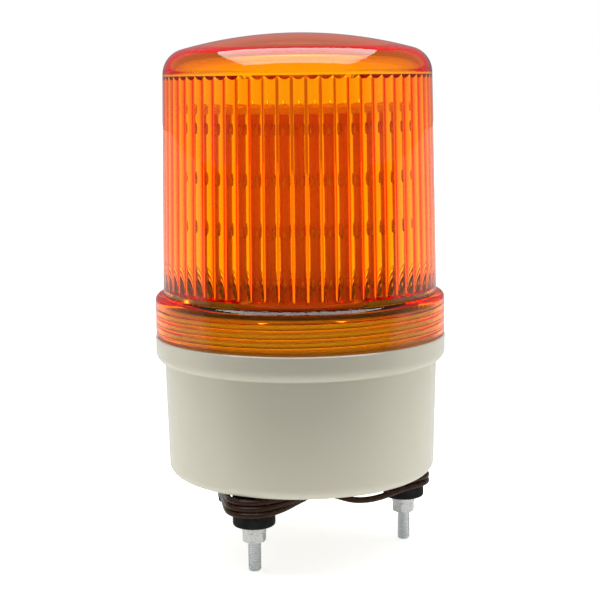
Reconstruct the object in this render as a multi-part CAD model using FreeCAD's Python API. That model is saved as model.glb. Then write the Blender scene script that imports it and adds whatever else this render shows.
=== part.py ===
"""Signal beacon: a screw-on fluted lens over a standing tower of lamps, on a moulded cup with three studs.

Millimetres, +Z up. The origin is on the beacon's axis, at the level of the three stud tips it stands on.
-Y is the front. Every function makes the solids of one piece, and the list at the end writes one file each.
"""
import FreeCAD, Part
import math
import os

V = FreeCAD.Vector
X_AXIS, Y_AXIS, Z_AXIS = V(1, 0, 0), V(0, 1, 0), V(0, 0, 1)
ORIGIN = V(0, 0, 0)

# ---------------------------------------------------------------- driving sizes
# outside
rim_r, rim_h, rim_round = 57.4, 6.0, 3.4     # the housing's widest band, under the lens
housing_h = 55.4          # underside to the top of its rim
rim_overhang = 3.4        # rim beyond the cup's wall
housing_draft = 1.0       # the cup is this much narrower at its bottom
housing_floor = 3.0
housing_wall = 3.0
housing_edge = 4.5        # rounding of the bottom edge
rim_edge, inside_fillet = 0.5, 2.0
cable_hole_r = 5.0

# studs and what is on them
stud_r = 2.5              # M5 thread
stud_shank_r = 2.24       # rolled-thread shank, the thread's pitch radius
stud_inset = 11.8         # stud's axis from the cup's outside
stud_turn = -116.6        # where the first stud stands, in degrees from +X
stud_count = 3
stud_free = 11.5          # thread left below the nut
stud_tip = 0.6            # chamfer on its end
stud_head_h, stud_head_flats = 3.5, 8.0
nut_h, nut_flats = 4.0, 8.0
spring_washer_h, spring_washer_r, spring_washer_split = 1.3, 4.6, 0.9
washer_h, washer_r = 1.0, 5.0
foot_h, foot_r, foot_edge = 13.0, 8.15, 1.2
boss_r, boss_h = 7.5, 4.0
web_w, web_h = 2.4, 12.0

# screw thread between the housing's neck and the lens
collar_h = 16.6
collar_step = 0.2         # collar's outside, in from the rim's
collar_wall = 3.6         # collar's outside to the neck between the threads
collar_roof = 2.4         # shoulder of the lens over the seal
collar_lift = 0.3         # gap under the collar when the seal is tight
collar_round = 2.5
collar_edge, mouth_edge = 0.4, 0.9
neck_wall = 3.2
thread_pitch = 3.3
thread_depth = 1.0
thread_gap = 0.35         # clearance in the thread, radially and along the axis
thread_crest_h = 0.9      # width of the ridge at its crest
thread_bury = 0.4         # how far the ridge is sunk in the neck
thread_start, thread_end = 1.9, 1.76         # plain neck below and above the ridge
thread_flank = 35.0       # degrees
thread_turn = 40.0        # where the thread starts, in degrees from +X
seal_h, seal_w, seal_inset = 1.3, 2.1, 0.3

# lens
shoulder_w = 3.2          # collar's outside to the foot of the side wall
lens_draft = 1.65         # the side wall is this much narrower at its top
lens_wall = 2.0
lens_side_h = 101.7       # rim to the start of the top rounding
lens_top_round = 10.0
dome_r = 170.0
flute_count = 64
flute_turn = -2.4         # where the first groove lies, in degrees from +X
flute_depth = 1.25
flute_margin = 0.5        # the plain core clears the flutes' crests by this much
flute_foot, flute_head = 1.8, 0.7            # plain wall above the shoulder and below the top rounding
flute_run_out = 2.2       # height over which a flute fades out at its upper end

# lamp tower
plate_sink = 1.9          # plate's top below the neck's
plate_h, plate_lip_h, plate_lip_w, plate_gap, plate_edge = 2.0, 3.0, 1.4, 0.4, 0.5
column_r = 21.6           # axis to the outside of the lamp boards
board_count, board_w, board_h = 15, 8.8, 1.2
lamp_turn = 0.5           # where the first lamp board stands, in degrees from +X
ring_board_h = 2.0
post_r, post_tube_r, post_bore_r, post_foot_h = 6.0, 4.0, 2.0, 3.5
tower_cap_r, tower_cap_h, tower_cap_well = 26.8, 3.2, 0.7
tower_gap = 12.1          # cap's top below the start of the lens's rounding
lamp_r, lamp_out, lamp_nose = 2.5, 5.0, 1.1
lamp_above_foot, lamp_below_head = 8.5, 6.1  # first and last lamp row, from the ends of the boards
cap_lip, cap_edge = 2.4, 0.6
lamp_row_names = ("bottom", "lower", "upper", "top")

# on the driver board
driver_lift, driver_h, driver_inset = 20.0, 1.6, 10.0
capacitor_r, capacitor_h, capacitor_inset, capacitor_gap = 5.0, 16.0, 27.0, 3.0
transistor_w, transistor_t, transistor_h = 10.0, 4.5, 9.0
transistor_inset, transistor_y, transistor_step = 35.0, 14.0, 13.0
leg_w, leg_t, leg_h, leg_step = 0.9, 0.6, 3.0, 2.55
tab_h, tab_t, tab_hole_r = 6.5, 1.3, 1.8
terminal_w, terminal_d, terminal_h, terminal_x, terminal_inset = 11.0, 8.0, 10.0, 4.0, 21.0
terminal_step_h, terminal_step_d, terminal_pitch = 6.0, 3.0, 5.2
wire_mouth_r, screw_well_r, well_depth = 1.4, 1.6, 5.0

# carriers of the chassis plate and of the driver board, and the screws in them
pillar_inset, pillar_r, pillar_clear = 7.8, 4.2, 0.8
stand_inset, stand_r = 17.0, 3.6
chassis_screw = {"head_r": 2.9, "head_h": 2.2, "shank_r": 1.3, "shank_l": 10.0}
driver_screw = {"head_r": 2.4, "head_h": 1.8, "shank_r": 1.1, "shank_l": 7.0}
tower_screw_head_r, tower_screw_head_h, tower_screw_r = 3.6, 2.4, 1.9
screw_play = 0.4          # screw's shank in its clearance hole

# leads
lead_r = 1.25
lead_hang = 1.5           # first turn below the housing
lead_drop = 2.7           # every turn lies this much lower
lead_round_stud = 11.4    # a lead's distance from the stud it goes round
lead_apart = 1.7          # each lead's exit, from the middle of the grommet
lead_slack = (-0.8, -2.6, -3.4, 3.4, 2.4)    # bow between two studs, front right, where they are slack
lead_snug = (0.9, 1.9, 2.3, 1.7, 0.7)        # bow on the other sides
grommet_flange_r, grommet_flange_h, grommet_edge = 7.0, 1.3, 0.8

# ---------------------------------------------------------------- sizes worked out from them
housing_top_r = rim_r - rim_overhang
housing_low_r = housing_top_r - housing_draft
inside_r = housing_low_r - housing_wall
collar_r = rim_r - collar_step
thread_root_r = collar_r - collar_wall
neck_bore_r = thread_root_r - neck_wall
neck_h = collar_h - collar_roof - seal_h
thread_turns = (neck_h - thread_start - thread_end) / thread_pitch
seal_out_r = thread_root_r - seal_inset
lens_low_r = collar_r - shoulder_w
lens_top_r = lens_low_r - lens_draft
flute_low, flute_high = collar_h + flute_foot, lens_side_h - flute_head
stud_circle_r = housing_low_r - stud_inset
pillar_circle_r = housing_low_r - pillar_inset
stand_circle_r = housing_low_r - stand_inset
driver_r = housing_low_r - driver_inset
capacitor_x = capacitor_inset - driver_r
transistor_x = driver_r - transistor_inset
terminal_y = terminal_inset - driver_r
pillar_turn = stud_turn + 60.0
stand_turn = stud_turn + 90.0

# levels
nut_z = stud_free
spring_washer_z = nut_z + nut_h
washer_z = spring_washer_z + spring_washer_h
foot_z = washer_z + washer_h
base_z = foot_z + foot_h                # the housing's underside
floor_z = base_z + housing_floor
head_z = floor_z + boss_h               # each stud's head rests on its boss
driver_z = floor_z + driver_lift
driver_top_z = driver_z + driver_h
rim_z = base_z + housing_h              # top of the housing's rim
neck_top_z = rim_z + neck_h
seal_top_z = neck_top_z + seal_h
tower_z = neck_top_z - plate_sink
plate_z = tower_z - plate_h
side_top_z = rim_z + lens_side_h        # where the lens's top rounding starts
column_low = tower_z + ring_board_h     # foot and head of the lamp boards
column_high = side_top_z - tower_gap - tower_cap_h
cap_well_z = column_high + tower_cap_h - tower_cap_well
lead_z = base_z - lead_hang

half = math.sqrt(0.5)                   # cosine of the middle of a quarter round
over = 1.0                              # how far a cutting tool passes the surface that it cuts
sunk = 0.5                              # how far a post is let into the floor that carries it


# ---------------------------------------------------------------- helpers
def polar(radius, degrees, z=0.0):
    a = math.radians(degrees)
    return V(radius * math.cos(a), radius * math.sin(a), z)


def cylinder(radius, height, base, axis=Z_AXIS):
    return Part.makeCylinder(radius, height, base, axis)


def ring(outer_r, inner_r, height, base):
    return cylinder(outer_r, height, base).cut(cylinder(inner_r, height, base))


def turned(edges):
    """A solid of revolution about Z from a closed chain of edges in the XZ plane."""
    face = Part.Face(Part.Wire(edges))
    solid = face.revolve(ORIGIN, Z_AXIS, 360)
    return Part.Solid(solid.Shells[0]) if solid.ShapeType != "Solid" else solid


def outline(points):
    """Edges through (radius, height) points, closed. A third value makes the edge from the last point
    to this one an arc that passes through the (radius, height) it names."""
    edges = []
    closed = points + points[:1]
    for here, there in zip(closed, closed[1:]):
        a, b = V(here[0], 0, here[1]), V(there[0], 0, there[1])
        if len(there) == 3:
            edges.append(Part.Arc(a, V(there[2][0], 0, there[2][1]), b).toShape())
        elif (a - b).Length > 1e-6:
            edges.append(Part.LineSegment(a, b).toShape())
    return edges


def around(count, turn=0.0):
    return [turn + 360.0 * i / count for i in range(count)]


def hexagon(flats, height, base, turn=0.0):
    across = flats / math.sqrt(3)
    points = [base + polar(across, turn + 60 * i) for i in range(7)]
    return Part.Face(Part.makePolygon(points)).extrude(Z_AXIS * height)


def group(solids):
    return Part.makeCompound(solids)


def at_studs():
    return [(polar(stud_circle_r, a), a) for a in around(stud_count, stud_turn)]


def at_pillars(z):
    return [polar(pillar_circle_r, a, z) for a in around(stud_count, pillar_turn)]


def at_stands(z):
    return [polar(stand_circle_r, a, z) for a in around(stud_count, stand_turn)]


def through(radius, base, depth, axis=Z_AXIS):
    """A round cutter that passes both faces of a wall of this depth."""
    return cylinder(radius, depth + 2 * over, base - axis * over, axis)


def screw_hole(size, mouth):
    """A blind hole for a screw driven down into a post from the mouth, with room below its point."""
    depth = size["shank_l"] + over
    return cylinder(size["shank_r"], depth + over, mouth - Z_AXIS * depth)


# ---------------------------------------------------------------- studs, feet and their hardware
def make_studs():
    stud = turned(outline([
        (0, 0), (stud_r - stud_tip, 0), (stud_r, stud_tip), (stud_r, nut_z),
        (stud_shank_r, nut_z), (stud_shank_r, head_z), (0, head_z),
    ]))
    made = []
    for p, a in at_studs():
        head = hexagon(stud_head_flats, stud_head_h, p + Z_AXIS * head_z, a)
        made.append(stud.translated(p).fuse(head).removeSplitter())
    return group(made)


def make_rubber_feet():
    e = foot_edge
    foot = turned(outline([
        (stud_shank_r, foot_z), (foot_r - e, foot_z),
        (foot_r, foot_z + e, (foot_r - e + e * half, foot_z + e - e * half)),
        (foot_r, base_z), (stud_shank_r, base_z),
    ]))
    return group([foot.translated(p) for p, a in at_studs()])


def make_flat_washers():
    return group([ring(washer_r, stud_shank_r, washer_h, p + Z_AXIS * washer_z) for p, a in at_studs()])


def make_spring_washers():
    """Split rings, each with a slanting cut through one side."""
    rings = []
    for p, a in at_studs():
        body = ring(spring_washer_r, stud_shank_r, spring_washer_h, p + Z_AXIS * spring_washer_z)
        cut = Part.makeBox(spring_washer_r * 2, spring_washer_split, spring_washer_h * 3)
        cut.translate(V(0, -spring_washer_split / 2, -spring_washer_h))
        cut.rotate(ORIGIN, X_AXIS, 25)
        cut.rotate(ORIGIN, Z_AXIS, a + 140)
        cut.translate(p + Z_AXIS * (spring_washer_z + spring_washer_h / 2))
        rings.append(body.cut(cut))
    return group(rings)


def make_hex_nuts():
    """Hexagons with their corners turned off on a cone, top and bottom."""
    corner_r = nut_flats / math.sqrt(3)
    flat_r = nut_flats * 0.49
    slope = (corner_r - flat_r) * math.tan(math.radians(30))
    trim = turned(outline([
        (0, 0), (flat_r, 0), (corner_r, slope), (corner_r, nut_h - slope), (flat_r, nut_h), (0, nut_h),
    ]))
    nuts = []
    for p, a in at_studs():
        body = hexagon(nut_flats, nut_h, ORIGIN, a + 12).common(trim)
        body = body.cut(cylinder(stud_shank_r, nut_h, ORIGIN))
        nuts.append(body.translated(p + Z_AXIS * nut_z))
    return group(nuts)


# ---------------------------------------------------------------- housing
def thread_solid(inner_r, outer_r, crest_h, root_h, start_z, turns):
    """A trapezoid swept along the screw's helix, wide at inner_r and narrow at outer_r."""
    helix = Part.makeHelix(thread_pitch, thread_pitch * turns, inner_r)
    section = Part.makePolygon([
        V(inner_r, 0, -root_h / 2), V(outer_r, 0, -crest_h / 2),
        V(outer_r, 0, crest_h / 2), V(inner_r, 0, root_h / 2), V(inner_r, 0, -root_h / 2),
    ])
    swept = Part.Wire(helix.Edges).makePipeShell([section], True, True)
    swept.translate(V(0, 0, start_z))
    swept.rotate(ORIGIN, Z_AXIS, thread_turn)
    return swept


def neck_thread():
    inner_r, crest_r = thread_root_r - thread_bury, thread_root_r + thread_depth
    root_h = thread_crest_h + 2 * math.tan(math.radians(thread_flank)) * (crest_r - inner_r)
    return thread_solid(inner_r, crest_r, thread_crest_h, root_h, rim_z + thread_start, thread_turns)


def lens_groove():
    """The same screw, grown by its clearance, from below the collar's mouth to near the shoulder."""
    turns_below, turns_above = 1.0, 0.15
    inner_r, crest_r = thread_root_r - thread_bury, thread_root_r + thread_depth + thread_gap
    crest_h = thread_crest_h + 2 * thread_gap
    root_h = crest_h + 2 * math.tan(math.radians(thread_flank)) * (crest_r - inner_r)
    start = rim_z + thread_start - turns_below * thread_pitch
    return thread_solid(inner_r, crest_r, crest_h, root_h, start, thread_turns + turns_below + turns_above)


def make_housing():
    e = housing_edge
    rim_low_z = rim_z - rim_h
    neck_edge = 0.6
    cup = turned(outline([
        (0, base_z), (housing_low_r - e, base_z),
        (housing_low_r, base_z + e, (housing_low_r - e + e * half, base_z + e - e * half)),
        (housing_top_r, rim_low_z - 1.25 * rim_round),
        (rim_r, rim_low_z, (rim_r - 0.3 * rim_round, rim_low_z - 0.82 * rim_round)),
        (rim_r, rim_z - rim_edge), (rim_r - rim_edge, rim_z),
        (thread_root_r, rim_z), (thread_root_r, neck_top_z - neck_edge),
        (thread_root_r - neck_edge, neck_top_z), (0, neck_top_z),
    ]))
    fillet = inside_fillet
    hollow = turned(outline([
        (0, floor_z), (inside_r - fillet, floor_z), (inside_r, floor_z + fillet),
        (neck_bore_r, rim_z), (neck_bore_r, neck_top_z + over), (0, neck_top_z + over),
    ]))
    body = cup.cut(hollow)

    posts = []
    for p, a in at_studs():
        posts.append(cylinder(boss_r, boss_h + sunk, p + Z_AXIS * (floor_z - sunk)))
        web_l = inside_r + housing_wall / 2 - stud_circle_r
        web = Part.makeBox(web_l, web_w, web_h + sunk, V(stud_circle_r, -web_w / 2, floor_z - sunk))
        web = web.cut(cylinder(boss_r - housing_wall / 2, web_h, V(stud_circle_r, 0, head_z)))
        posts.append(web.rotated(ORIGIN, Z_AXIS, a))
    posts += [cylinder(pillar_r, plate_z - floor_z + sunk, p - Z_AXIS * sunk) for p in at_pillars(floor_z)]
    posts += [cylinder(stand_r, driver_lift + sunk, p - Z_AXIS * sunk) for p in at_stands(floor_z)]
    body = body.multiFuse(posts)

    holes = [through(stud_shank_r, p + Z_AXIS * base_z, head_z - base_z) for p, a in at_studs()]
    holes += [screw_hole(chassis_screw, p) for p in at_pillars(plate_z)]
    holes += [screw_hole(driver_screw, p) for p in at_stands(driver_z)]
    holes.append(through(cable_hole_r, Z_AXIS * base_z, housing_floor))
    body = body.cut(group(holes))
    return body.fuse(neck_thread())


# ---------------------------------------------------------------- inside the housing
def make_cable_grommet():
    f, e = grommet_flange_h, grommet_edge
    return turned(outline([
        (0, base_z - f), (grommet_flange_r - e, base_z - f), (grommet_flange_r, base_z - f + e),
        (grommet_flange_r, base_z), (cable_hole_r, base_z), (cable_hole_r, floor_z),
        (grommet_flange_r, floor_z), (grommet_flange_r - e, floor_z + f), (0, floor_z + f),
    ]))


def make_driver_board():
    board = cylinder(driver_r, driver_h, Z_AXIS * driver_z)
    cuts = [through(driver_screw["shank_r"] + screw_play, p, driver_h) for p in at_stands(driver_z)]
    cuts += [through(pillar_r + pillar_clear, p, driver_h) for p in at_pillars(driver_z)]
    cuts.append(through(cable_hole_r, Z_AXIS * driver_z, driver_h))
    return board.cut(group(cuts))


def screw(point, head_r, head_h, shank_r, shank_l):
    """A pan head on its shank, the head's underside at the point."""
    return turned(outline([
        (0, -shank_l), (shank_r, -shank_l), (shank_r, 0), (head_r, 0), (head_r, head_h * 0.55),
        (head_r * 0.6, head_h), (0, head_h),
    ])).translated(point)


def make_driver_screws():
    return group([screw(p, **driver_screw) for p in at_stands(driver_top_z)])


def make_capacitors():
    step = 2 * capacitor_r + capacitor_gap
    return group([cylinder(capacitor_r, capacitor_h, V(capacitor_x, y, driver_top_z))
                  for y in (-capacitor_gap, step - capacitor_gap)])


def make_power_transistors():
    """Two flat-packed transistors standing on the board on three legs, each with its metal tab above it."""
    made = []
    for x in (transistor_x, transistor_x + transistor_step):
        corner = V(x, transistor_y, driver_top_z + leg_h)
        body = Part.makeBox(transistor_w, transistor_t, transistor_h, corner)
        back_y = transistor_t - tab_t
        tab = Part.makeBox(transistor_w, tab_t, tab_h, corner + V(0, back_y, transistor_h))
        hole_at = corner + V(transistor_w / 2, back_y, transistor_h + tab_h / 2)
        hole = through(tab_hole_r, hole_at, tab_t, Y_AXIS)
        middle = corner + V(transistor_w / 2 - leg_w / 2, transistor_t / 2 - leg_t / 2, -leg_h)
        legs = [Part.makeBox(leg_w, leg_t, leg_h, middle + X_AXIS * dx) for dx in (-leg_step, 0, leg_step)]
        made.append(body.multiFuse([tab.cut(hole)] + legs).removeSplitter())
    return group(made)


def make_terminal_block():
    """Two-way screw terminal: a stepped body with two wire mouths in its side and two screw wells."""
    base = V(terminal_x, terminal_y, driver_top_z)
    low = Part.makeBox(terminal_w, terminal_d, terminal_step_h, base)
    high_d = terminal_d - terminal_step_d
    high = Part.makeBox(terminal_w, high_d, terminal_h, base + Y_AXIS * terminal_step_d)
    cuts = []
    for side in (-1, 1):
        x = terminal_w / 2 + side * terminal_pitch / 2
        well = V(x, (terminal_d + terminal_step_d) / 2, terminal_h - well_depth + over)
        cuts.append(cylinder(screw_well_r, well_depth, base + well))
        cuts.append(cylinder(wire_mouth_r, well_depth, base + V(x, -over, terminal_step_h / 2), Y_AXIS))
    return low.fuse(high).cut(group(cuts)).removeSplitter()


# ---------------------------------------------------------------- lamp tower
def lead_slot(z, height):
    """Where the tower's wires pass through the plate and the ring board."""
    return through(post_bore_r * 1.6, polar(2 * post_r, 90, z), height)


def make_chassis_plate():
    """The plate that closes the housing and carries the tower: a disc with a turned-down edge."""
    edge_r = neck_bore_r - plate_gap
    lip_r, lip_z = edge_r - plate_lip_w, plate_z - plate_lip_h
    plate = turned(outline([
        (0, plate_z), (lip_r, plate_z), (lip_r, lip_z), (edge_r, lip_z),
        (edge_r, tower_z - plate_edge), (edge_r - plate_edge, tower_z), (0, tower_z),
    ]))
    cuts = [through(chassis_screw["shank_r"] + screw_play, p, plate_h) for p in at_pillars(plate_z)]
    cuts += [cylinder(pillar_r + pillar_clear, plate_lip_h + over, p) for p in at_pillars(lip_z - over)]
    cuts += [lead_slot(plate_z, plate_h), through(post_bore_r, Z_AXIS * plate_z, plate_h)]
    return plate.cut(group(cuts))


def make_chassis_screws():
    return group([screw(p, **chassis_screw) for p in at_pillars(tower_z)])


def make_tower_ring():
    """Ring-shaped circuit board that the lamp boards stand on."""
    board = ring(tower_cap_r, post_r + 2 * screw_play, ring_board_h, Z_AXIS * tower_z)
    return board.cut(lead_slot(tower_z, ring_board_h))


def make_lamp_boards():
    corner = V(column_r - board_h, -board_w / 2, column_low)
    board = Part.makeBox(board_h, board_w, column_high - column_low, corner)
    return group([board.rotated(ORIGIN, Z_AXIS, a) for a in around(board_count, lamp_turn)])


def make_lamps(level):
    """One row of round-nosed lamps, one on every board."""
    lamp = turned(outline([
        (0, 0), (lamp_r, 0), (lamp_r, lamp_out - 1.5 * lamp_nose),
        (lamp_r - lamp_nose, lamp_out), (0, lamp_out),
    ]))
    lamp = lamp.rotated(ORIGIN, Y_AXIS, 90).translated(V(column_r, 0, level))
    return group([lamp.rotated(ORIGIN, Z_AXIS, a) for a in around(board_count, lamp_turn)])


def make_tower_post():
    """The tube through the middle of the tower, with a foot that stands on the chassis plate."""
    foot_top = tower_z + post_foot_h
    return turned(outline([
        (post_bore_r, tower_z), (post_r, tower_z), (post_r, foot_top), (post_tube_r, foot_top),
        (post_tube_r, column_high), (post_bore_r, column_high),
    ]))


def make_tower_cap():
    """The round cap on the lamp boards' heads: a lip all round, and a well for the long screw's head."""
    top = column_high + tower_cap_h
    r, bore, e = tower_cap_r, post_bore_r, cap_edge
    return turned(outline([
        (bore, column_high), (r - e, column_high), (r, column_high + e), (r, top - e), (r - e, top),
        (r - cap_lip, top), (r - cap_lip - e, cap_well_z), (bore, cap_well_z),
    ]))


def make_tower_screw():
    """The long screw that clamps cap, post and plate together."""
    return screw(Z_AXIS * cap_well_z, tower_screw_head_r, tower_screw_head_h, tower_screw_r,
                 cap_well_z - plate_z)


# ---------------------------------------------------------------- lens and its seal
def lens_r(height):
    """The lens's outer radius at a height above the rim."""
    share = (height - collar_h) / (lens_side_h - collar_h)
    return lens_low_r + (lens_top_r - lens_low_r) * share


def dome_profile(side_r, side_z, round_r, sphere_r):
    """A sphere tangent to the corner rounding of the side wall: the bend's middle, the sphere's start,
    its middle, and the apex, each as (radius, height)."""
    centre_r = side_r - round_r
    drop = math.sqrt((sphere_r - round_r) ** 2 - centre_r ** 2)
    sphere_z = side_z - drop
    lean = math.atan2(centre_r, drop)
    start = (sphere_r * math.sin(lean), sphere_z + sphere_r * math.cos(lean))
    middle = (sphere_r * math.sin(lean / 2), sphere_z + sphere_r * math.cos(lean / 2))
    knee = math.pi / 4 - lean / 2
    bend = (centre_r + round_r * math.cos(knee), side_z + round_r * math.sin(knee))
    return bend, start, middle, (0, sphere_z + sphere_r)


def lens_outside():
    low, top = rim_z + collar_lift, rim_z + collar_h
    c = collar_round
    bend, start, middle, apex = dome_profile(lens_top_r, side_top_z, lens_top_round, dome_r)
    return turned(outline([
        (0, low), (collar_r - collar_edge, low), (collar_r, low + collar_edge), (collar_r, top - c),
        (collar_r - c, top, (collar_r - c + c * half, top - c + c * half)),
        (lens_low_r, top),
        (lens_top_r, side_top_z),
        (start[0], start[1], bend),
        (0, apex[1], middle),
    ]))


def flute_ring(base_r, height):
    """Arcs that bulge inwards, one per flute, between grooves at base_r."""
    edges = []
    for a in around(flute_count, flute_turn):
        ends = [polar(base_r, a + share * 360.0 / flute_count, height) for share in (0, 1)]
        crest = polar(base_r - flute_depth, a + 180.0 / flute_count, height)
        edges.append(Part.Arc(ends[0], crest, ends[1]).toShape())
    return Part.Wire(edges)


def lens_inside():
    """What is hollow in the lens: a plain turned core, and the fluted part of its side wall."""
    low, shoulder = rim_z + collar_lift, seal_top_z
    flute_z0, flute_z1 = rim_z + flute_low, rim_z + flute_high
    base0, base1 = lens_r(flute_low) - lens_wall, lens_r(flute_high) - lens_wall
    bore_r = thread_root_r + thread_gap
    inner_top_r = lens_top_r - lens_wall
    bend, start, middle, apex = dome_profile(
        inner_top_r, side_top_z, lens_top_round - lens_wall, dome_r - lens_wall)
    clear = flute_depth + flute_margin
    core = turned(outline([
        (0, low - over), (bore_r + mouth_edge, low - over), (bore_r + mouth_edge, low),
        (bore_r, low + mouth_edge), (bore_r, shoulder), (base0, shoulder), (base0, flute_z0),
        (base0 - clear, flute_z0 + clear),
        (base1 - clear, flute_z1 - flute_run_out),
        (base1, flute_z1), (inner_top_r, side_top_z),
        (start[0], start[1], bend),
        (0, apex[1], middle),
    ]))
    fluted = Part.makeLoft([flute_ring(base0, flute_z0), flute_ring(base1, flute_z1)], True, True)
    return core, fluted


def make_lens():
    core, fluted = lens_inside()
    return lens_outside().cut(core).cut(fluted).cut(lens_groove())


def make_lens_seal():
    return ring(seal_out_r, seal_out_r - seal_w, seal_h, Z_AXIS * neck_top_z)


# ---------------------------------------------------------------- leads
def side_frame(turn):
    """Outward normal, and tangent the way the leads are wound, of the side whose middle is at this turn."""
    n = polar(1, turn)
    return n, V(-n.y, n.x, 0)


def tube_path(points):
    """Straight runs joined by tangent arcs, each as large as its two runs allow, and the arcs' radii."""
    edges, radii = [], []
    here = points[0]
    for before, at, after in zip(points, points[1:], points[2:]):
        u, w = at - before, after - at
        lu, lw = u.Length, w.Length
        u.normalize()
        w.normalize()
        half = math.acos(max(-1.0, min(1.0, u.dot(w)))) / 2
        reach = 0.45 * min(lu, lw)
        radii.append(reach / math.tan(half))
        a, b = at - u * reach, at + w * reach
        inward = w - u
        inward.normalize()
        middle = at + inward * (radii[-1] / math.cos(half) - radii[-1])
        edges.append(Part.LineSegment(here, a).toShape())
        edges.append(Part.Arc(a, middle, b).toShape())
        here = b
    edges.append(Part.LineSegment(here, points[-1]).toShape())
    return Part.Wire(edges), radii


def lead_tube(name, points):
    path, radii = tube_path(points)
    start = path.Edges[0]
    direction = start.tangentAt(start.FirstParameter)
    section = Part.Wire(Part.makeCircle(lead_r, points[0], direction))
    tube = path.makePipeShell([section], True, True)
    ratio = tube.Volume / (math.pi * lead_r ** 2 * path.Length)
    print(f"{name}: {path.Length:.0f} mm long, bend radii {min(radii):.1f} to {max(radii):.0f} mm, "
          f"volume over section times length {ratio:.4f}")
    return tube


def lead_route(side_turn, exit_x, level, passes, tail):
    """A lead's points: out of the grommet, out between two feet, round the three studs, to its cut end."""
    n, t = side_frame(side_turn)
    mouth = V(exit_x, 0, base_z - grommet_flange_h)
    points = [mouth]
    for out, down in ((0, 1.5), (1.0, 3.1), (2.9, 4.2)):
        points.append(mouth + n * (out * lead_r) - Z_AXIS * (down * lead_r))
    low_z = points[-1].z
    # from under the grommet to the first stud: shares of the stud circle out and along, and of the rise
    for out, along, share in ((0.22, 0.005, 0.05), (0.41, 0.02, 0.35), (0.595, 0.107, 0.7),
                              (0.709, 0.286, 0.95), (0.752, 0.505, 1.0)):
        place = (n * out + t * along) * stud_circle_r
        points.append(place + Z_AXIS * (low_z + (level - low_z) * share))
    side = 360.0 / stud_count
    wrap = 48.0                         # a lead turns round a stud through twice this

    def z_at(a):
        return level - lead_drop * (a - side_turn) / 360.0

    for k in range(passes):
        stud_a = side_turn + side * (k + 0.5)
        for delta in (-wrap, -wrap / 3, wrap / 3, wrap):
            corner = polar(stud_circle_r, stud_a) + polar(lead_round_stud, stud_a + delta)
            points.append(corner + Z_AXIS * z_at(stud_a + delta / 4))
        first = polar(stud_circle_r, stud_a) + polar(lead_round_stud, stud_a + wrap)
        last = polar(stud_circle_r, stud_a + side) + polar(lead_round_stud, stud_a + side - wrap)
        normal = polar(1, stud_a + side / 2)
        bows = side_bows(stud_a + side / 2)
        for i in range(len(bows) if k < passes - 1 else tail):
            share = (i + 1) / (len(bows) + 1)
            place = first + (last - first) * share + normal * bows[i]
            points.append(place + Z_AXIS * z_at(stud_a + 14 + (side - 28) * share))
    return points


def side_bows(side_turn):
    """How far a lead bows out (or in) at five places between two studs."""
    front_right = abs((side_turn - pillar_turn) % 360) < 1
    return lead_slack if front_right else lead_snug


def make_leads():
    first = lead_route(stud_turn - 60.0, -lead_apart, lead_z, 5, 3)
    second = lead_route(stud_turn + 180.0, lead_apart, lead_z - 2 * lead_drop + 0.08 * lead_r, 4, 4)
    return {"lead_one": lead_tube("lead_one", first), "lead_two": lead_tube("lead_two", second)}


# ---------------------------------------------------------------- write them all
pieces = {
    "housing": make_housing(),
    "cable_grommet": make_cable_grommet(),
    "driver_board": make_driver_board(),
    "driver_screws": make_driver_screws(),
    "capacitors": make_capacitors(),
    "power_transistors": make_power_transistors(),
    "terminal_block": make_terminal_block(),
    "chassis_plate": make_chassis_plate(),
    "chassis_screws": make_chassis_screws(),
    "tower_ring_board": make_tower_ring(),
    "lamp_boards": make_lamp_boards(),
    "tower_post": make_tower_post(),
    "tower_cap": make_tower_cap(),
    "tower_screw": make_tower_screw(),
    "lens": make_lens(),
    "lens_seal": make_lens_seal(),
    "studs": make_studs(),
    "rubber_feet": make_rubber_feet(),
    "flat_washers": make_flat_washers(),
    "spring_washers": make_spring_washers(),
    "hex_nuts": make_hex_nuts(),
}
first_lamp_z, last_lamp_z = column_low + lamp_above_foot, column_high - lamp_below_head
for i, row in enumerate(lamp_row_names):
    share = i / (len(lamp_row_names) - 1)
    pieces[f"lamps_{row}_row"] = make_lamps(first_lamp_z + (last_lamp_z - first_lamp_z) * share)
pieces.update(make_leads())

os.makedirs("parts", exist_ok=True)
for name, shape in pieces.items():
    print(f"{name}: {len(shape.Solids)} solid(s), {shape.Volume / 1000:.2f} cm3, "
          f"{'closed' if shape.isValid() and all(s.isClosed() for s in shape.Solids) else 'NOT CLOSED'}")
    shape.exportStep(f"parts/{name}.step")
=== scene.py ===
# %% [markdown]
# # A signal beacon, dressed
# The solids of the beacon come ready made and stay where they are. This lesson gives each of them a
# finish, remakes the few whose small forms matter in a close view (the lens's dome, stud threads, lamps
# and leads), and sets up a camera, a pale floor and soft light. Each cell is short and prints what it made.

# %% Load the frame
import math

import bmesh
import bpy
from mathutils import Matrix, Vector
from mathutils.kdtree import KDTree


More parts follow.
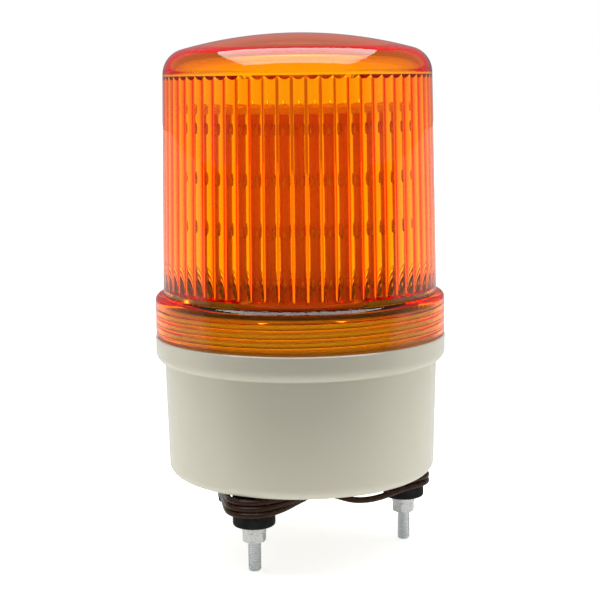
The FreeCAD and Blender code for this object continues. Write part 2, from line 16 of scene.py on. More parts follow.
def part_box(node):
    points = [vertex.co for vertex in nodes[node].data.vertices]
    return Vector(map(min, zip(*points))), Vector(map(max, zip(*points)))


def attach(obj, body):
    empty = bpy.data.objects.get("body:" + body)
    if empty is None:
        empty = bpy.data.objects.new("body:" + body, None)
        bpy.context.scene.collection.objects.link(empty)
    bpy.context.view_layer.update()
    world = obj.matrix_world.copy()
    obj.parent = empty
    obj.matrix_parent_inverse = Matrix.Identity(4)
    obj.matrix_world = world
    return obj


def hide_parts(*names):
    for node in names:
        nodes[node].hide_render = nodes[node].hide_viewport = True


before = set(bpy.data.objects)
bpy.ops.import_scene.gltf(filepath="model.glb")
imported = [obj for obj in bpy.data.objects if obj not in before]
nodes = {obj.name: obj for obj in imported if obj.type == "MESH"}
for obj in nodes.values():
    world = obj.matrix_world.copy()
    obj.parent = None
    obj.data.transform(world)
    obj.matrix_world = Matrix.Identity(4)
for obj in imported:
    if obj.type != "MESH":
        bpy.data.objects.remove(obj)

MM = 0.001
UP = Vector((0, 0, 1))
scene = bpy.context.scene


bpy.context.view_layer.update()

# %% [markdown]
# ## Camera
# A long lens, a little above the middle of the beacon and tilted down, so that the collar's front edge
# curves gently and the feet stay in view. The camera leans by less than a degree. Its place is written
# as one matrix, because the tilt and the lean are then plain turns about the camera's own axes.

# %% Camera
camera_distance, camera_height = 0.600, 0.1857
tilt_down, lean = math.radians(8.24), math.radians(0.666)

camera_data = bpy.data.cameras.new("camera")
camera_data.sensor_width, camera_data.lens = 36.0, 91.5
camera_data.clip_start, camera_data.clip_end = 0.01, 50.0
camera = bpy.data.objects.new("camera", camera_data)
scene.collection.objects.link(camera)
camera.matrix_world = (
    Matrix.Translation((0, -camera_distance, camera_height))
    @ Matrix.Rotation(math.pi / 2 - tilt_down, 4, "X")
    @ Matrix.Rotation(-lean, 4, "Z")
)
scene.camera = camera
print("lens", round(camera_data.lens, 1), "mm")

# %% [markdown]
# ## Writing shader maths as sums
# A shader is a graph of nodes. Adding nodes one by one hides the idea, so a small class wraps a socket
# and turns each sign into the Math node it stands for.


# %% Sums on sockets
class Value:
    """A number that varies over the surface. Each sign adds a Math node."""

    def __init__(self, graph, socket):
        self.graph, self.socket = graph, socket

    def _math(self, operation, first, second):
        node = self.graph.add("ShaderNodeMath", {"operation": operation}, {0: first, 1: second})
        return Value(self.graph, node.outputs[0])

    def __add__(self, other):
        return self._math("ADD", self, other)

    def __mul__(self, other):
        return self._math("MULTIPLY", self, other)

    def __sub__(self, other):
        return self._math("SUBTRACT", self, other)

    def __rsub__(self, other):
        return self._math("SUBTRACT", other, self)

    __radd__, __rmul__ = __add__, __mul__


# %% [markdown]
# ## One way to add a node
# Every other node comes from one method. It takes the node's type, its settings and what goes into its
# sockets, a number or a link. Materials and the sky both use it, so it belongs to a class of its own.


# %% A graph of nodes
class Graph:
    """A node tree, with the one way in which nodes are added to it."""

    def __init__(self, tree):
        self.tree = tree

    def add(self, kind, settings, sockets):
        node = self.tree.nodes.new(kind)
        for name, value in settings.items():
            if name == "stops":
                for stop, (at, colour) in zip(node.color_ramp.elements, value):
                    stop.position, stop.color = at, (*colour, 1)
            else:
                setattr(node, name, value)
        for name, value in sockets.items():
            if isinstance(value, Value):
                value = value.socket
            if isinstance(value, bpy.types.NodeSocket):
                self.tree.links.new(value, node.inputs[name])
            else:
                node.inputs[name].default_value = value
        return node

    def spread(self, value, low, high, to_low, to_high, easing="LINEAR"):
        """The value carried from one range to another, and held at the ends."""
        sockets = {"Value": value, "From Min": low, "From Max": high, "To Min": to_low, "To Max": to_high}
        made = self.add("ShaderNodeMapRange", {"interpolation_type": easing}, sockets)
        return Value(self, made.outputs["Result"])


# %% [markdown]
# ## A finish
# A finish is a material with one Principled shader. What is the same all over is set on the shader's own
# sockets when the finish is made. What varies comes from noise on Object coordinates, which stay with
# the piece when it moves.


# %% Finishes
class Finish(Graph):
    """A material with one Principled shader, and the few patterns that this beacon needs."""

    def __init__(self, name, **constants):
        self.material = bpy.data.materials.new(name)
        self.material.use_nodes = True
        super().__init__(self.material.node_tree)
        self.shader = self.tree.nodes["Principled BSDF"]
        self.place = self.add("ShaderNodeTexCoord", {}, {}).outputs["Object"]
        for name, value in constants.items():
            socket = name.replace("_", " ").title().replace("Ior", "IOR")
            self.shader.inputs[socket].default_value = value

    def noise(self, size, detail=3.0):
        """Soft noise from 0 to 1 whose lumps are about this size, in metres."""
        sockets = {"Vector": self.place, "Scale": 1 / size, "Detail": detail}
        made = self.add("ShaderNodeTexNoise", {}, sockets)
        return Value(self, made.outputs["Fac"])

    def ramp(self, value, stops):
        """A number made a colour, by two stops of place and colour."""
        return self.add("ShaderNodeValToRGB", {"stops": stops}, {"Fac": value}).outputs["Color"]

    def mix(self, factor, first, second):
        """The first colour where the factor is 0 and the second where it is 1."""
        first, second = (c if isinstance(c, bpy.types.NodeSocket) else (*c, 1) for c in (first, second))
        # a Mix node has sockets for every kind of data, and those for colour are 6 and 7 in, 2 out
        return self.add("ShaderNodeMix", {"data_type": "RGBA"}, {0: factor, 6: first, 7: second}).outputs[2]

    def bump(self, height, depth):
        """Depth is the height of the bumps, in metres."""
        made = self.add("ShaderNodeBump", {}, {"Height": height, "Distance": depth, "Strength": 1.0})
        self.tree.links.new(made.outputs["Normal"], self.shader.inputs["Normal"])

    def set(self, **links):
        """Let these values and colours vary the shader's sockets of the same names."""
        for name, value in links.items():
            socket = self.shader.inputs[name.replace("_", " ").title()]
            self.tree.links.new(value.socket if isinstance(value, Value) else value, socket)


def dress(names, finish):
    """Give these solids the finish, in place of what they came with."""
    for name in names:
        mesh = nodes[name].data
        mesh.materials.clear()
        mesh.materials.append(finish.material)
    print(finish.material.name, "on", ", ".join(names))


# %% [markdown]
# ## The housing's plastic
# Light warm grey, injection moulded, and glossy enough to mirror the room softly. Real mouldings are
# never quite even: the colour drifts a little, the skin has long shallow waves, and handling leaves
# areas that are a trace duller. So noise of several sizes goes into colour, gloss and relief, each very
# faint.

# %% Housing plastic
housing_grey, housing_light, speck_grey = (0.597, 0.574, 0.462), (0.627, 0.604, 0.494), (0.45, 0.43, 0.34)
housing_finish = Finish("housing_plastic", roughness=0.16, specular_ior_level=0.5, coat_roughness=0.06)
drift = housing_finish.spread(housing_finish.noise(50 * MM, 2.0), 0.3, 0.7, 0.0, 1.0)
speck = housing_finish.spread(housing_finish.noise(0.9 * MM, 2.0), 0.66, 0.72, 0.0, 0.12)
handling = housing_finish.spread(housing_finish.noise(12 * MM, 4.0), 0.3, 0.8, 0.11, 0.20)
waves = housing_finish.noise(18 * MM, 1.0) + 0.04 * housing_finish.noise(0.6 * MM, 2.0)
plain_grey = housing_finish.mix(drift, housing_grey, housing_light)
housing_finish.set(base_color=housing_finish.mix(speck, plain_grey, speck_grey), roughness=handling)
housing_finish.bump(waves, 0.06 * MM)
dress(["housing"], housing_finish)

# %% [markdown]
# ## The amber lens
# Clear tinted plastic, with a side wall of two millimetres. The flutes inside bend the light, so the shader
# only has to tint it and shine. A coloured surface would tint thin and thick places alike, so the tint
# is in the volume instead: what is left of red, green and blue light after one wall gives how much each
# metre of plastic absorbs. Light that crosses more plastic turns from yellow orange to deep red.

# %% Amber plastic
wall = 2.0 * MM
through_wall = (0.992, 0.68, 0.08)           # shares of red, green and blue light that one wall lets through
absorbed = [-math.log(share) / wall for share in through_wall]
strongest = max(absorbed)

amber_finish = Finish("amber_plastic", base_color=(1, 1, 1, 1), roughness=0.012, transmission_weight=1.0,
                      ior=1.49)
tint = amber_finish.add("ShaderNodeVolumeAbsorption", {},
                        {"Color": (*(1 - a / strongest for a in absorbed), 1), "Density": strongest})
amber_finish.tree.links.new(tint.outputs[0], amber_finish.tree.nodes["Material Output"].inputs["Volume"])
amber_finish.bump(amber_finish.noise(20 * MM, 1.0), 0.02 * MM)
print("the lens absorbs", [round(a) for a in absorbed], "per metre")

# %% [markdown]
# ## Making a piece of a new mesh
# Every new mesh ends in the same way. Points that meet are merged first, because only a closed mesh
# knows its outside. Then the faces are turned outwards and the piece is put on the body it moves with.


# %% Helpers for new pieces
def polar(radius, degrees):
    a = math.radians(degrees)
    return Vector((radius * math.cos(a), radius * math.sin(a), 0))


def new_piece(name, bm, finish, body, smooth_angle=40.0):
    """Merge points that meet, turn the faces outwards, and let the piece ride on its body."""
    bmesh.ops.remove_doubles(bm, verts=bm.verts, dist=1e-6)
    bmesh.ops.recalc_face_normals(bm, faces=bm.faces)
    mesh = bpy.data.meshes.new(name)
    bm.to_mesh(mesh)
    bm.free()
    piece = bpy.data.objects.new(name, mesh)
    scene.collection.objects.link(piece)
    mesh.materials.append(finish.material)
    mesh.shade_smooth()
    mesh.set_sharp_from_angle(angle=math.radians(smooth_angle))
    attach(piece, body)
    print(name, len(mesh.polygons), "faces")
    return piece


# %% [markdown]
# ## The lens's dome
# The solid's flutes, collar and thread are right as they are, but its dome comes in large facets, and
# clear plastic shows every one. So the dome is drawn again from its two arcs, a small one that rounds
# the corner and a large one over the top. The inner skin runs deeper under the dome than beside the
# flutes, and goes from one depth to the other as it rounds the corner.

# %% The dome's profile
side_top, corner_r, outer_round = 187.9 * MM, 42.35 * MM, 10.0 * MM
dome_r, dome_wall, corner_rings, dome_rings = 170.0 * MM, 3.2 * MM, 16, 14
dome_z = side_top - math.sqrt((dome_r - outer_round) ** 2 - corner_r ** 2)
junction = math.asin(corner_r / (dome_r - outer_round))


def dome_profile(side_inset, top_inset):
    """Radius and height of every ring from the side wall to the apex, for a skin this far inside."""
    for i in range(1, corner_rings + 1):
        a = math.pi / 2 + (junction - math.pi / 2) * i / corner_rings
        inset = side_inset + (top_inset - side_inset) * math.cos(a) ** 0.5
        yield corner_r + (outer_round - inset) * math.sin(a), side_top + (outer_round - inset) * math.cos(a)
    for i in range(1, dome_rings + 1):
        a = junction * (1 - i / dome_rings)
        yield (dome_r - top_inset) * math.sin(a), dome_z + (dome_r - top_inset) * math.cos(a)


print("dome's apex at", round(1000 * (dome_z + dome_r), 1), "mm")

# %% [markdown]
# ## Growing the dome on the flutes
# A copy of the solid loses all that lies above the side wall, which leaves two open rims. Each rim is
# extruded ring by ring along its profile, and the last ring is merged to a point. Extruding keeps every
# point of the flutes' edge, so the new dome meets the old wall without a gap.

# %% Lens
bm = bmesh.new()
bm.from_mesh(nodes["lens"].data)
bmesh.ops.remove_doubles(bm, verts=bm.verts, dist=1e-6)
above = [f for f in bm.faces if f.calc_center_median().z > side_top]
bmesh.ops.delete(bm, geom=above, context="FACES")
rims = [e for e in bm.edges if e.is_boundary]
middle_r = corner_r + outer_round - wall / 2
for outside, side_inset, top_inset in ((True, 0.0, 0.0), (False, wall, dome_wall)):
    rim = [e for e in rims if (math.hypot(*e.verts[0].co.xy) > middle_r) == outside]
    for radius, height in dome_profile(side_inset, top_inset):
        grown = bmesh.ops.extrude_edge_only(bm, edges=rim)["geom"]
        rim = [e for e in grown if isinstance(e, bmesh.types.BMEdge) and e.is_boundary]
        ring = [v for v in grown if isinstance(v, bmesh.types.BMVert)]
        for v in ring:
            stretch = radius / math.hypot(v.co.x, v.co.y)
            v.co = (v.co.x * stretch, v.co.y * stretch, height)
        if radius < 1e-6:
            bmesh.ops.pointmerge(bm, verts=ring, merge_co=(0, 0, height))
print("rim edges grown into the dome:", len(rims))
lens_piece = new_piece("fluted_lens", bm, amber_finish, "lens_body", 180.0)

# %% [markdown]
# ## Normals for the flutes
# The solid carries the true direction of its surface at every corner of every face, and merging points
# loses it: flutes shaded from the merged mesh look soft and too wide. So each face below the dome takes
# its corner normals back from the solid's nearest triangle. The dome's own rings are fine enough.

# %% The lens's normals
solid = nodes["lens"].data
triangles = KDTree(len(solid.polygons))
for face in solid.polygons:
    triangles.insert(face.center, face.index)
triangles.balance()


def solid_normal(twin, place):
    """The solid's normal at the corner of this triangle that is nearest to the place."""
    corner = min(twin.loop_indices,
                 key=lambda i: (solid.vertices[solid.loops[i].vertex_index].co - place).length)
    return solid.corner_normals[corner].vector.copy()


normals = []
for face in lens_piece.data.polygons:
    twin = solid.polygons[triangles.find(face.center)[1]]
    for v in (lens_piece.data.vertices[i] for i in face.vertices):
        normals.append(v.normal.copy() if face.center.z > side_top else solid_normal(twin, v.co))
lens_piece.data.normals_split_custom_set(normals)
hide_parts("lens")
print("normals set at", len(normals), "corners")

# %% [markdown]
# ## Rubber
# The feet, the grommet and the seal are matt black rubber. New rubber is nearly even, with a faint grey
# bloom where it has been handled, so one noise lightens it slightly and changes its sheen together.

# %% Rubber
rubber_black, rubber_bloom = (0.008, 0.008, 0.008), (0.018, 0.018, 0.0175)
rubber_finish = Finish("black_rubber", roughness=0.6, specular_ior_level=0.12)
bloom = rubber_finish.noise(4 * MM, 4.0)
bloomed = rubber_finish.spread(bloom, 0.4, 0.7, 0.0, 1.0)
rubber_finish.set(
    base_color=rubber_finish.mix(bloomed, rubber_black, rubber_bloom),
    roughness=rubber_finish.spread(bloom, 0.3, 0.7, 0.5, 0.7),
)
rubber_finish.bump(rubber_finish.noise(0.7 * MM, 3.0), 0.04 * MM)
dress(["rubber_feet", "cable_grommet", "lens_seal"], rubber_finish)

# %% [markdown]
# ## Zinc-plated steel
# Nuts, washers and screws are steel with bright zinc on it. Zinc is a metal, so the colour goes to its
# reflection. It is cloudy on the scale of a few millimetres and finely uneven under that.

# %% Zinc-plated steel
zinc_dull, zinc_bright = (0.78, 0.80, 0.79), (0.90, 0.90, 0.87)
zinc_finish = Finish("zinc_steel", metallic=1.0, roughness=0.24)
cloud = zinc_finish.spread(zinc_finish.noise(3 * MM, 3.0), 0.35, 0.65, 0.0, 1.0)
zinc_finish.set(
    base_color=zinc_finish.mix(cloud, zinc_dull, zinc_bright),
    roughness=zinc_finish.spread(zinc_finish.noise(1.1 * MM, 3.0), 0.3, 0.7, 0.18, 0.34),
)
zinc_finish.bump(zinc_finish.noise(0.5 * MM, 2.0), 0.01 * MM)
dress(["flat_washers", "spring_washers", "hex_nuts", "chassis_screws", "driver_screws", "tower_screw"],
      zinc_finish)

# %% [markdown]
# ## Circuit boards
# A board is woven glass cloth under lacquer, so the weave shows as a slight change of shade and a very
# low relief. The lamps' boards are lacquered orange and the driver board green. Both follow the same
# recipe, so a function makes it.


# %% Circuit boards
def board_finish(name, dark, light, node_names):
    finish = Finish(name, roughness=0.35)
    weave = finish.noise(1.2 * MM, 2.0)
    sheen = finish.spread(finish.noise(4 * MM, 2.0), 0.3, 0.7, 0.28, 0.42)
    finish.set(base_color=finish.mix(weave, dark, light), roughness=sheen)
    finish.bump(weave, 0.03 * MM)
    dress(node_names, finish)


board_finish("green_board", (0.020, 0.13, 0.05), (0.035, 0.19, 0.08), ["driver_board"])
board_finish("lamp_board", (0.78, 0.15, 0.04), (0.88, 0.20, 0.06), ["lamp_boards", "tower_ring_board"])

# %% [markdown]
# ## Small mouldings
# The chassis, the tower's cap and the parts on the driver board are moulded plastic of several colours.
# They share a fine grain, which shows in the sheen and as relief, and each has its own gloss.


# %% Moulded plastics
def moulded_finish(name, dark, light, roughness, node_names):
    finish = Finish(name, roughness=roughness)
    grain = finish.noise(0.8 * MM, 3.0)
    finish.set(base_color=finish.mix(finish.noise(10 * MM, 2.0), dark, light),
               roughness=finish.spread(grain, 0.3, 0.7, roughness * 0.8, roughness * 1.2))
    finish.bump(grain, 0.03 * MM)
    dress(node_names, finish)


moulded_finish("black_plastic", (0.018, 0.018, 0.019), (0.030, 0.030, 0.031), 0.45,
               ["chassis_plate", "tower_post", "power_transistors"])
moulded_finish("cap_plastic", (0.84, 0.36, 0.16), (0.92, 0.44, 0.20), 0.40, ["tower_cap"])
moulded_finish("capacitor_sleeve", (0.012, 0.016, 0.040), (0.020, 0.026, 0.060), 0.25, ["capacitors"])
moulded_finish("terminal_plastic", (0.03, 0.16, 0.07), (0.04, 0.20, 0.09), 0.40, ["terminal_block"])

# %% [markdown]
# ## The studs' thread
# A stud is a steel rod with a rolled thread. Stacked rings would look like a thread from afar, but a
# real one is a single groove that climbs as it goes round. So the profile of one turn is spun with a
# rise of one pitch, many times over. The spun ribbon's ends slant, so both are cut flat and closed, and
# the cone at the tip leaves the last turn shallower.

# %% Thread
stud_radius, stud_root, stud_shank, stud_tip, stud_pitch = 2.5 * MM, 2.02 * MM, 2.24 * MM, 0.6 * MM, 0.8 * MM
thread_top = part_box("hex_nuts")[0][2]
turn_steps = 24
# one turn: the radius at each share of a pitch, from root up to crest and back
thread_turn = ((stud_root, 0.0), (stud_root, 0.12), (stud_radius, 0.44), (stud_radius, 0.56),
               (stud_root, 0.88), (stud_root, 1.0))


def thread_mesh():
    """One threaded end, from the tip up to the nut."""
    bm = bmesh.new()
    # the ribbon runs past both ends by over a turn, so that each cut goes through it all the way round
    turns = round(thread_top / stud_pitch) + 3
    low = -1.5 * stud_pitch
    chain = [bm.verts.new((r, 0, low + share * stud_pitch)) for r, share in thread_turn]
    edges = [bm.edges.new(pair) for pair in zip(chain, chain[1:])]
    bmesh.ops.spin(bm, geom=chain + edges, cent=(0, 0, 0), axis=(0, 0, 1), dvec=UP * stud_pitch / turn_steps,
                   angle=2 * math.pi * turns, steps=turn_steps * turns)
    bmesh.ops.remove_doubles(bm, verts=bm.verts, dist=2e-6)
    for level, above in ((0.0, False), (thread_top, True)):
        everything = bm.verts[:] + bm.edges[:] + bm.faces[:]
        cut = bmesh.ops.bisect_plane(bm, geom=everything, plane_co=(0, 0, level), plane_no=UP,
                                     clear_outer=above, clear_inner=not above)
        rim = [e for e in cut["geom_cut"] if isinstance(e, bmesh.types.BMEdge)]
        bmesh.ops.edgeloop_fill(bm, edges=rim)
    for v in bm.verts:
        out = math.hypot(v.co.x, v.co.y)
        allowed = stud_radius - stud_tip + v.co.z
        if out > allowed:
            v.co.x *= allowed / out
            v.co.y *= allowed / out
    return bm


stud = thread_mesh()
print("one thread:", len(stud.faces), "faces")

# %% [markdown]
# ## The studs
# Above the thread a stud has a plain shank, which goes up through nut, washers and foot, and a hexagonal
# head inside the housing. One stud is built on the axis, and three copies are moved out to their circle.

# %% Studs
stud_circle_r, stud_turn, stud_count = 41.2 * MM, -116.6, 3
stud_span = 360 / stud_count
head_low, head_high, head_flats, head_bevel = 37.8 * MM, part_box("studs")[1][2], 8.0 * MM, 0.3 * MM


def add_rod(bm, radius, low, high, segments=24):
    made = bmesh.ops.create_cone(bm, cap_ends=True, segments=segments, radius1=radius, radius2=radius,
                                 depth=high - low)
    bmesh.ops.translate(bm, verts=made["verts"], vec=UP * (low + high) / 2)
    return made["verts"]


add_rod(stud, stud_shank, thread_top, head_low)
head = add_rod(stud, head_flats / 2 / math.cos(math.pi / 6), head_low, head_high, 6)
head_edges = [e for e in stud.edges if all(v in head for v in e.verts)]
bmesh.ops.bevel(stud, geom=head_edges, offset=head_bevel, segments=2, profile=0.5, affect="EDGES",
                material=-1)
bmesh.ops.recalc_face_normals(stud, faces=stud.faces)
one_stud = bpy.data.meshes.new("one_stud")
stud.to_mesh(one_stud)
stud.free()

studs = bmesh.new()
for k in range(stud_count):
    start_at = len(studs.verts)
    studs.from_mesh(one_stud)
    studs.verts.ensure_lookup_table()
    place = polar(stud_circle_r, stud_turn + stud_span * k)
    bmesh.ops.translate(studs, verts=studs.verts[start_at:], vec=place)

stud_finish = Finish("bright_zinc", metallic=1.0, roughness=0.3)
wear = stud_finish.noise(2 * MM, 3.0)
stud_finish.set(base_color=stud_finish.mix(wear, (0.88, 0.92, 0.92), (0.96, 0.98, 0.98)),
                roughness=stud_finish.spread(wear, 0.3, 0.7, 0.24, 0.38))
stud_piece = new_piece("threaded_studs", studs, stud_finish, "beacon_base", 30.0)
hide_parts("studs")

# %% [markdown]
# ## One lamp
# Each lamp is a bullet of resin with a small collar at its foot and a round nose. It is a turned shape,
# so a short profile is spun once. It has few faces, because sixty copies of it stand in the tower. It
# takes the orange of the board behind it, and stays slightly clear.

# %% One lamp
lamp_radius, lamp_collar, lamp_length = 2.1 * MM, 2.5 * MM, 5.0 * MM
collar_side, collar_top = 0.8 * MM, 0.9 * MM
nose_steps, lamp_sides = 5, 14

lamp_finish = Finish("lamp_resin", roughness=0.06, transmission_weight=0.15, ior=1.5)
cloudy = lamp_finish.noise(1.5 * MM, 3.0)
lamp_finish.set(base_color=lamp_finish.mix(cloudy, (0.84, 0.26, 0.08), (0.92, 0.34, 0.12)),
                roughness=lamp_finish.spread(cloudy, 0.3, 0.7, 0.04, 0.12))


def lamp_mesh():
    bm = bmesh.new()
    nose_z = lamp_length - lamp_radius
    points = [(0.0, 0.0), (lamp_collar, 0.0), (lamp_collar, collar_side), (lamp_radius, collar_top)]
    for i in range(nose_steps + 1):
        a = math.pi / 2 * i / nose_steps
        points.append((lamp_radius * math.cos(a), nose_z + lamp_radius * math.sin(a)))
    chain = [bm.verts.new((r, 0, z)) for r, z in points]
    edges = [bm.edges.new(pair) for pair in zip(chain, chain[1:])]
    bmesh.ops.spin(bm, geom=chain + edges, cent=(0, 0, 0), axis=(0, 0, 1), angle=2 * math.pi,
                   steps=lamp_sides, use_merge=True)
    bmesh.ops.remove_doubles(bm, verts=bm.verts, dist=1e-6)
    bmesh.ops.recalc_face_normals(bm, faces=bm.faces)
    mesh = bpy.data.meshes.new("one_lamp")
    bm.to_mesh(mesh)
    bm.free()
    return mesh


one_lamp = lamp_mesh()
print("one lamp:", len(one_lamp.polygons), "faces")

# %% [markdown]
# ## Four rows of lamps
# Every board carries one lamp of each row. A row's height is read from the solids it replaces, and its
# lamps are the same mesh, turned to point outwards and copied round the tower.

# %% Lamp rows
board_front, lamp_count, lamp_turn = 21.6 * MM, 15, 0.5
point_out = Matrix.Rotation(math.pi / 2, 4, "Y")
for row in ("bottom", "lower", "upper", "top"):
    low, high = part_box(f"lamps_{row}_row")
    on_board = Matrix.Translation((board_front, 0, (low[2] + high[2]) / 2))
    bm = bmesh.new()
    for i in range(lamp_count):
        start_at = len(bm.verts)
        bm.from_mesh(one_lamp)
        bm.verts.ensure_lookup_table()
        round_tower = Matrix.Rotation(math.radians(lamp_turn + 360 * i / lamp_count), 4, "Z")
        bmesh.ops.transform(bm, matrix=round_tower @ on_board @ point_out, verts=bm.verts[start_at:])
    piece = new_piece(f"clear_lamps_{row}", bm, lamp_finish, "beacon_base")
    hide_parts(f"lamps_{row}_row")

# %% [markdown]
# ## The leads' route
# Two sleeved wires come out of the grommet under the housing and are wound round the three feet. A
# wound wire is straight nowhere: it rounds each foot, bows a little between two feet, and sinks as it
# goes round, so that the next turn lies below. Between the front foot and the right one the turns are
# slack and hang. So the route is worked out lap by lap, from a few tables of shares.

# %% The route
lead_radius, lead_drop = 1.25 * MM, 2.52 * MM
right_lift, right_turn = 1.2 * MM, 3.4      # the leads ride higher by the right foot, at this turn
mouth_z = 29.5 * MM
# steps out and down from the grommet, in lead radii
leaving = ((0, 1.5), (1.0, 3.1), (2.9, 4.2))
# from there to the first foot: outwards and sideways as shares of the studs' circle, and share of the climb
crossing = ((0.22, 0.005, 0.05), (0.41, 0.02, 0.35), (0.595, 0.107, 0.7), (0.709, 0.286, 0.95),
            (0.752, 0.505, 1.0))
# how far the lead's middle keeps from the stud that it rounds: front, right, back
stud_gap = (10.5 * MM, 9.7 * MM, 10.6 * MM)
# a lead's points beside a stud, in degrees round the stud, and where it leaves, in degrees round the axis
beside_stud, leaves_at = (-48, -16, 16, 48), 14
# between two feet, drawn tight: share of the way, and bow outwards
snug = ((1 / 6, 0.9 * MM), (2 / 6, 1.9 * MM), (3 / 6, 2.3 * MM), (4 / 6, 1.7 * MM), (5 / 6, 0.7 * MM))
# between front and right, slack: share of the way, then bow inwards and lift as shares of each lap's own
slack = ((0.13, 0.25, 0.05), (0.27, 0.7, 0.6), (0.39, 1.0, 1.0), (0.48, 0.7, 0.2), (0.57, 0.2, -0.8),
         (0.70, 0.0, -1.0), (0.85, 0.0, -0.3))


def round_stud(turn, delta):
    """A point beside the stud at this turn, this many degrees past its outermost side."""
    gap = stud_gap[round((turn - stud_turn) / stud_span) % stud_count]
    return polar(stud_circle_r, turn) + polar(gap, turn + delta)


def lead_start(mouth, side_turn, level):
    """Down out of the grommet, then out between two feet and up to the winding's level."""
    out_dir = polar(1, side_turn)
    side_dir = Vector((-out_dir.y, out_dir.x, 0))
    points = [mouth] + [mouth + out_dir * (out * lead_radius) - UP * (down * lead_radius)
                        for out, down in leaving]
    low = points[-1].z
    for out, aside, climb in crossing:
        height = low + (level - low) * climb
        points.append((out_dir * out + side_dir * aside) * stud_circle_r + UP * height)
    return points


def lead_route(side_turn, exit_x, level, passes, tail, slack_laps):
    """Out of the grommet and round the studs. After the last stud come only the first points of a side."""
    points = lead_start(Vector((exit_x, 0, mouth_z)), side_turn, level)

    def height(turn):
        lift = right_lift * (1 + math.cos(math.radians(turn - right_turn))) / 2
        return level - lead_drop * (turn - side_turn) / 360 + lift

    laps = iter(slack_laps)
    for k in range(passes):
        at = side_turn + stud_span * (k + 0.5)
        for delta in beside_stud:
            points.append(round_stud(at, delta) + UP * height(at + delta / 4))
        first, last = round_stud(at, beside_stud[-1]), round_stud(at + stud_span, beside_stud[0])
        if abs((at - stud_turn) % 360) < 1:
            bow_in, lift = next(laps)
            side = [(share, -bow * bow_in, rise * lift) for share, bow, rise in slack]
        else:
            side = [(share, bow, 0.0) for share, bow in snug]
        for share, bow, rise in side if k < passes - 1 else side[:tail]:
            turn = at + leaves_at + (stud_span - 2 * leaves_at) * share
            points.append(first + (last - first) * share + polar(1, at + stud_span / 2) * bow
                          + UP * (height(turn) + rise))
    return points


print("studs at", [round(stud_turn + stud_span * k, 1) for k in range(stud_count)], "degrees")

# %% [markdown]
# ## The leads
# A lead is a curve with a round section: a smooth spline has no joints to hide, and its thickness stays
# the same all along. The soft brown sleeve is a trace worn, so its shade and its sheen vary together.

# %% Leads
sleeve_finish = Finish("lead_sleeve", roughness=0.34, specular_ior_level=0.2)
sleeve_wear = sleeve_finish.noise(3 * MM, 3.0)
sleeve_finish.set(base_color=sleeve_finish.mix(sleeve_wear, (0.026, 0.010, 0.0045), (0.042, 0.018, 0.009)),
                  roughness=sleeve_finish.spread(sleeve_wear, 0.3, 0.7, 0.20, 0.34))
sleeve_finish.bump(sleeve_finish.noise(0.8 * MM, 2.0), 0.02 * MM)


def lead(name, node, points):
    data = bpy.data.curves.new(name, "CURVE")
    data.dimensions = "3D"
    spline = data.splines.new("NURBS")
    spline.points.add(len(points) - 1)
    for point, place in zip(spline.points, points):
        point.co = (*place, 1.0)
    spline.order_u = 3
    spline.use_endpoint_u = True
    spline.resolution_u = 8
    data.bevel_depth = lead_radius
    data.bevel_resolution = 4
    data.use_fill_caps = True
    piece = bpy.data.objects.new(name, data)
    scene.collection.objects.link(piece)
    data.materials.append(sleeve_finish.material)
    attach(piece, "beacon_base")
    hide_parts(node)
    print(name, len(points), "points")


upper_route = lead_route(side_turn=stud_turn - 60, exit_x=-1.7 * MM, level=29.3 * MM, passes=5, tail=3,
                         slack_laps=((1.6 * MM, 0.4 * MM), (4.2 * MM, 1.5 * MM)))
lower_route = lead_route(side_turn=stud_turn + 180, exit_x=1.7 * MM, level=25.2 * MM, passes=4, tail=4,
                         slack_laps=((6.8 * MM, 2.6 * MM),))
lead("lead_sleeve_one", "lead_one", upper_route)
lead("lead_sleeve_two", "lead_two", lower_route)

# %% [markdown]
# ## Floor
# The beacon stands on a white sweep. Seen by the camera, or through the lens, the floor is white all
# over. Gloss mirrors what lies in front of the beacon too, and there the room is dark, so for other rays
# the floor darkens towards the front, and for mirrored rays it is dimmer everywhere. It glows a little
# besides being lit, which keeps it white under the beacon and still leaves the shadow.

# %% Floor
floor_size, dark_from, dark_until, darkest = 6.0, -0.10, -0.22, 0.10
mirror_dimming, paper_white, paper_glow, glow_nearby = 0.55, 0.80, 0.60, 0.8

floor_mesh = bpy.data.meshes.new("floor")
bm = bmesh.new()
bmesh.ops.create_grid(bm, x_segments=1, y_segments=1, size=floor_size)
bm.to_mesh(floor_mesh)
bm.free()
floor = bpy.data.objects.new("floor", floor_mesh)
scene.collection.objects.link(floor)

floor_finish = Finish("floor_paper", roughness=0.9, specular_ior_level=0.1, emission_strength=1.0)
ray_kind = floor_finish.add("ShaderNodeLightPath", {}, {}).outputs
seen, through, mirrored = (Value(floor_finish, ray_kind[f"Is {kind} Ray"])
                           for kind in ("Camera", "Transmission", "Glossy"))
backwards = floor_finish.add("ShaderNodeSeparateXYZ", {}, {"Vector": floor_finish.place}).outputs["Y"]
lit_behind = floor_finish.spread(backwards, dark_until, dark_from, darkest, 1.0)
nearby = lit_behind * (1 - mirror_dimming * mirrored)
shown = seen + through - seen * through


def grey_up_to(share, full):
    """Grey that goes from black at 0 to its full level at 1."""
    return floor_finish.ramp(share, [(0.0, (0, 0, 0)), (1.0, (full, full, full))])


floor_finish.set(
    base_color=grey_up_to(nearby + shown - nearby * shown, paper_white),
    emission_color=grey_up_to(glow_nearby * nearby + shown - glow_nearby * nearby * shown, paper_glow),
)
floor_mesh.materials.append(floor_finish.material)
print("floor", 2 * floor_size, "m across")

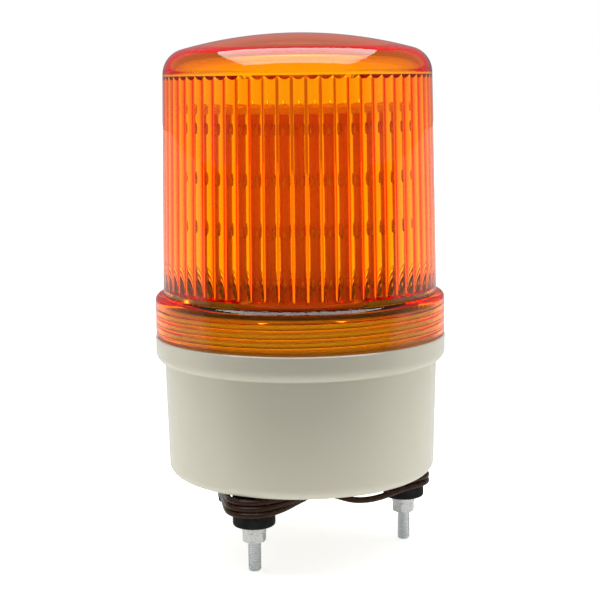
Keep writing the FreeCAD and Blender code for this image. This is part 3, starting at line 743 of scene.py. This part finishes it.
# %% [markdown]
# ## Sky
# The room is a white tent, open and dark towards the front, where the viewer stands. One flat level
# would light the beacon from all round and leave it without form, so the sky has a dark front. How dark
# depends on what a ray is for: light that falls on matt surfaces, what gloss mirrors, and what shows
# through the clear lens. The camera itself sees plain white.

# %% Sky
# angles from the back: darkening starts 72 degrees off the front, and is full from 52 degrees off
front_edge, front_full = math.radians(180 - 72), math.radians(180 - 52)
# the direction's height is 1 straight up
fade_from, fade_until, fade_to = 0.15, 0.45, 0.45
# levels in front and to the other sides
on_matt, in_gloss, through_lens = (0.30, 1.16), (0.06, 0.28), (0.62, 1.06)

world = bpy.data.worlds.new("room")
scene.world = world
world.use_nodes = True
world.node_tree.nodes.clear()
sky = Graph(world.node_tree)
direction = sky.add("ShaderNodeTexCoord", {}, {}).outputs["Generated"]
axes = sky.add("ShaderNodeSeparateXYZ", {}, {"Vector": direction}).outputs
turned = sky.add("ShaderNodeMath", {"operation": "ARCTAN2"}, {0: axes["X"], 1: axes["Y"]}).outputs[0]
from_back = sky.add("ShaderNodeMath", {"operation": "ABSOLUTE"}, {0: turned}).outputs[0]
sides = sky.spread(from_back, front_edge, front_full, 1.0, 0.0, "SMOOTHSTEP")
fading = sky.spread(axes["Z"], fade_from, fade_until, 1.0, fade_to, "SMOOTHSTEP")
ray_kind = sky.add("ShaderNodeLightPath", {}, {}).outputs


def sky_light(levels, fades=None):
    """Light of one level in front and another to the sides, which may fade overhead."""
    level = sky.spread(sides, 0.0, 1.0, *levels)
    strength = level * fades if fades else level
    return sky.add("ShaderNodeBackground", {}, {"Color": (1, 1, 1, 1), "Strength": strength}).outputs[0]


def sky_choice(kind, otherwise, light):
    is_kind = ray_kind[f"Is {kind} Ray"]
    return sky.add("ShaderNodeMixShader", {}, {0: is_kind, 1: otherwise, 2: light}).outputs[0]


room_light = sky_choice("Glossy", sky_light(on_matt), sky_light(in_gloss))
room_light = sky_choice("Transmission", room_light, sky_light(through_lens, fading))
room_light = sky_choice("Camera", room_light, sky_light((1.0, 1.0)))
sky.add("ShaderNodeOutputWorld", {}, {"Surface": room_light})
print("sky levels, front and sides:", on_matt, in_gloss, through_lens)

# %% [markdown]
# ## Studio lamps
# Three soft boxes hang over the beacon. The first lights it from above. The other two share a place
# close by, tipped towards the back, and each works on one kind of ray: one is the long bright shape that
# the dome mirrors, and the other, dimmer, is what shows through the dome. Clear plastic sends a ray back
# and forth many times before it comes out, so rays may bounce often.


# %% Studio lamps
def softbox(name, place, aim, width, height, radiance):
    data = bpy.data.lights.new(name, "AREA")
    data.shape = "RECTANGLE"
    data.size, data.size_y = width, height
    data.energy = radiance * math.pi * width * height
    lamp = bpy.data.objects.new(name, data)
    scene.collection.objects.link(lamp)
    lamp.location = place
    lamp.rotation_euler = (aim - place).to_track_quat("-Z", "Y").to_euler()
    return lamp


over_beacon, middle_of_beacon = Vector((0.0, 0.05, 1.1)), Vector((0.0, 0.0, 0.15))
above_dome, down_to_back = Vector((0.0, 0.10, 0.97)), Vector((0.0, 0.437, -0.899))
tipped_box = {"place": above_dome, "aim": above_dome + down_to_back, "width": 1.2, "height": 1.48}

top_box = softbox("top_softbox", over_beacon, middle_of_beacon, width=0.9, height=0.7, radiance=5.0)
top_box.visible_glossy = False
glare = softbox("dome_glare", radiance=5.5, **tipped_box)
glare.visible_diffuse = glare.visible_transmission = False
inner = softbox("inner_softbox", radiance=2.0, **tipped_box)
inner.visible_diffuse = inner.visible_glossy = False

ray_bounces = 48
scene.cycles.max_bounces = ray_bounces
scene.cycles.transmission_bounces = ray_bounces
scene.cycles.glossy_bounces = ray_bounces
print("three soft boxes,", ray_bounces, "bounces")

# %% View settings and finish
scene.view_settings.view_transform = "Standard"
